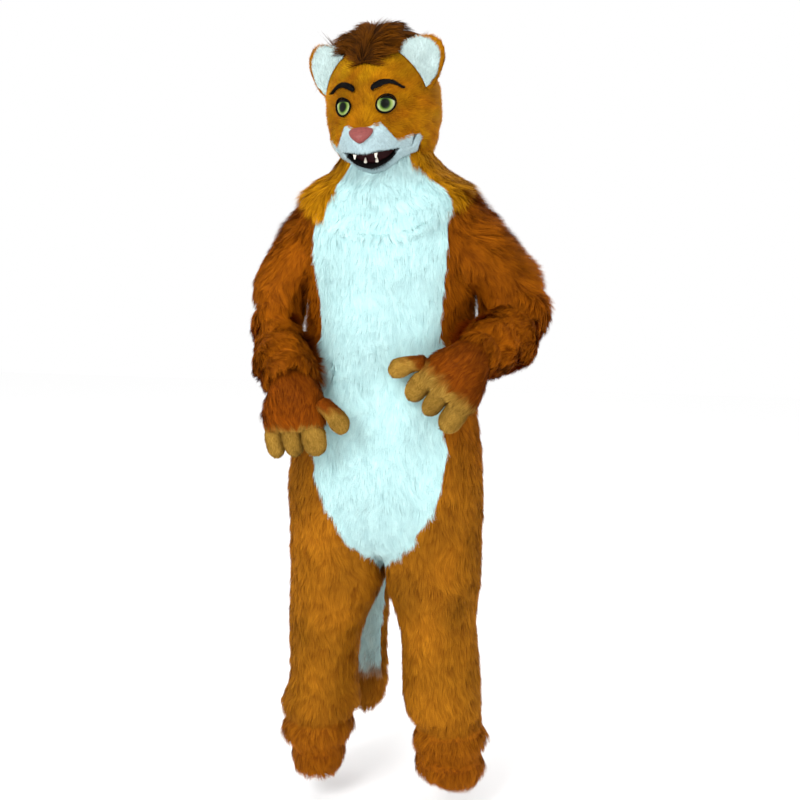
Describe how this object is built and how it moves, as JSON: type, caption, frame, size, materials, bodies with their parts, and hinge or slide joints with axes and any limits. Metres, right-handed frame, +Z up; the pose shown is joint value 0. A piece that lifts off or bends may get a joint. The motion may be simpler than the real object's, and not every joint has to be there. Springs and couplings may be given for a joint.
{
  "type": "worn lion costume",
  "caption": "Hollow fur bodysuit with belly panel, sleeves and legs, a mask head with bib, paw gloves and a tail, in a standing worn pose.",
  "frame": {"origin": "midway between the wearer's shoulders, at shoulder height, where the suit hangs", "axes": "+Z up, the costume's front faces -Y, the wearer's left is at +X"},
  "size_m": [0.6749, 0.5797, 1.7482],
  "materials": {
    "rust_fur": "long-pile acrylic fur, rust brown",
    "gold_fur": "short-pile fur on the head, long-pile on the bib, golden",
    "white_fur": "long-pile acrylic fur, cool white",
    "short_white_fur": "short-pile fur, white",
    "tan_fur": "short plush, tan",
    "brown_hair": "long swept pile, dark brown",
    "brow_fur": "short black pile",
    "mouth_black": "matte black cloth",
    "eye_rim": "matte black rim",
    "eye": "glossy printed eye",
    "nose": "brushed pink cloth over a firm nose",
    "tooth": "off-white"
  },
  "bodies": {
    "root": {"back_left": "rust_fur", "back_right": "rust_fur", "belly_panel": "white_fur", "bib_back": "gold_fur", "bib_front": "white_fur", "bib_left": "gold_fur", "bib_right": "gold_fur", "brow_left": "brow_fur", "brow_right": "brow_fur", "ear_inner_left": "short_white_fur", "ear_inner_right": "short_white_fur", "ear_left": "gold_fur", "ear_right": "gold_fur", "eye_left": "eye", "eye_right": "eye", "eye_rim_left": "eye_rim", "eye_rim_right": "eye_rim", "finger_left_1": "tan_fur", "finger_left_2": "tan_fur", "finger_left_3": "tan_fur", "finger_right_1": "tan_fur", "finger_right_2": "tan_fur", "finger_right_3": "tan_fur", "front_left": "rust_fur", "front_right": "rust_fur", "glove_left": "rust_fur", "glove_right": "rust_fur", "hair_tuft": "brown_hair", "head_left": "gold_fur", "head_right": "gold_fur", "jaw": "short_white_fur", "mouth_lining": "mouth_black", "muzzle": "short_white_fur", "nose": "nose", "sleeve_left": "rust_fur", "sleeve_right": "rust_fur", "tail": "rust_fur", "tail_front": "white_fur", "thumb_left": "tan_fur", "thumb_right": "tan_fur", "tooth_lower_left": "tooth", "tooth_lower_right": "tooth", "tooth_upper_left": "tooth", "tooth_upper_right": "tooth"}
  },
  "joints": []
}
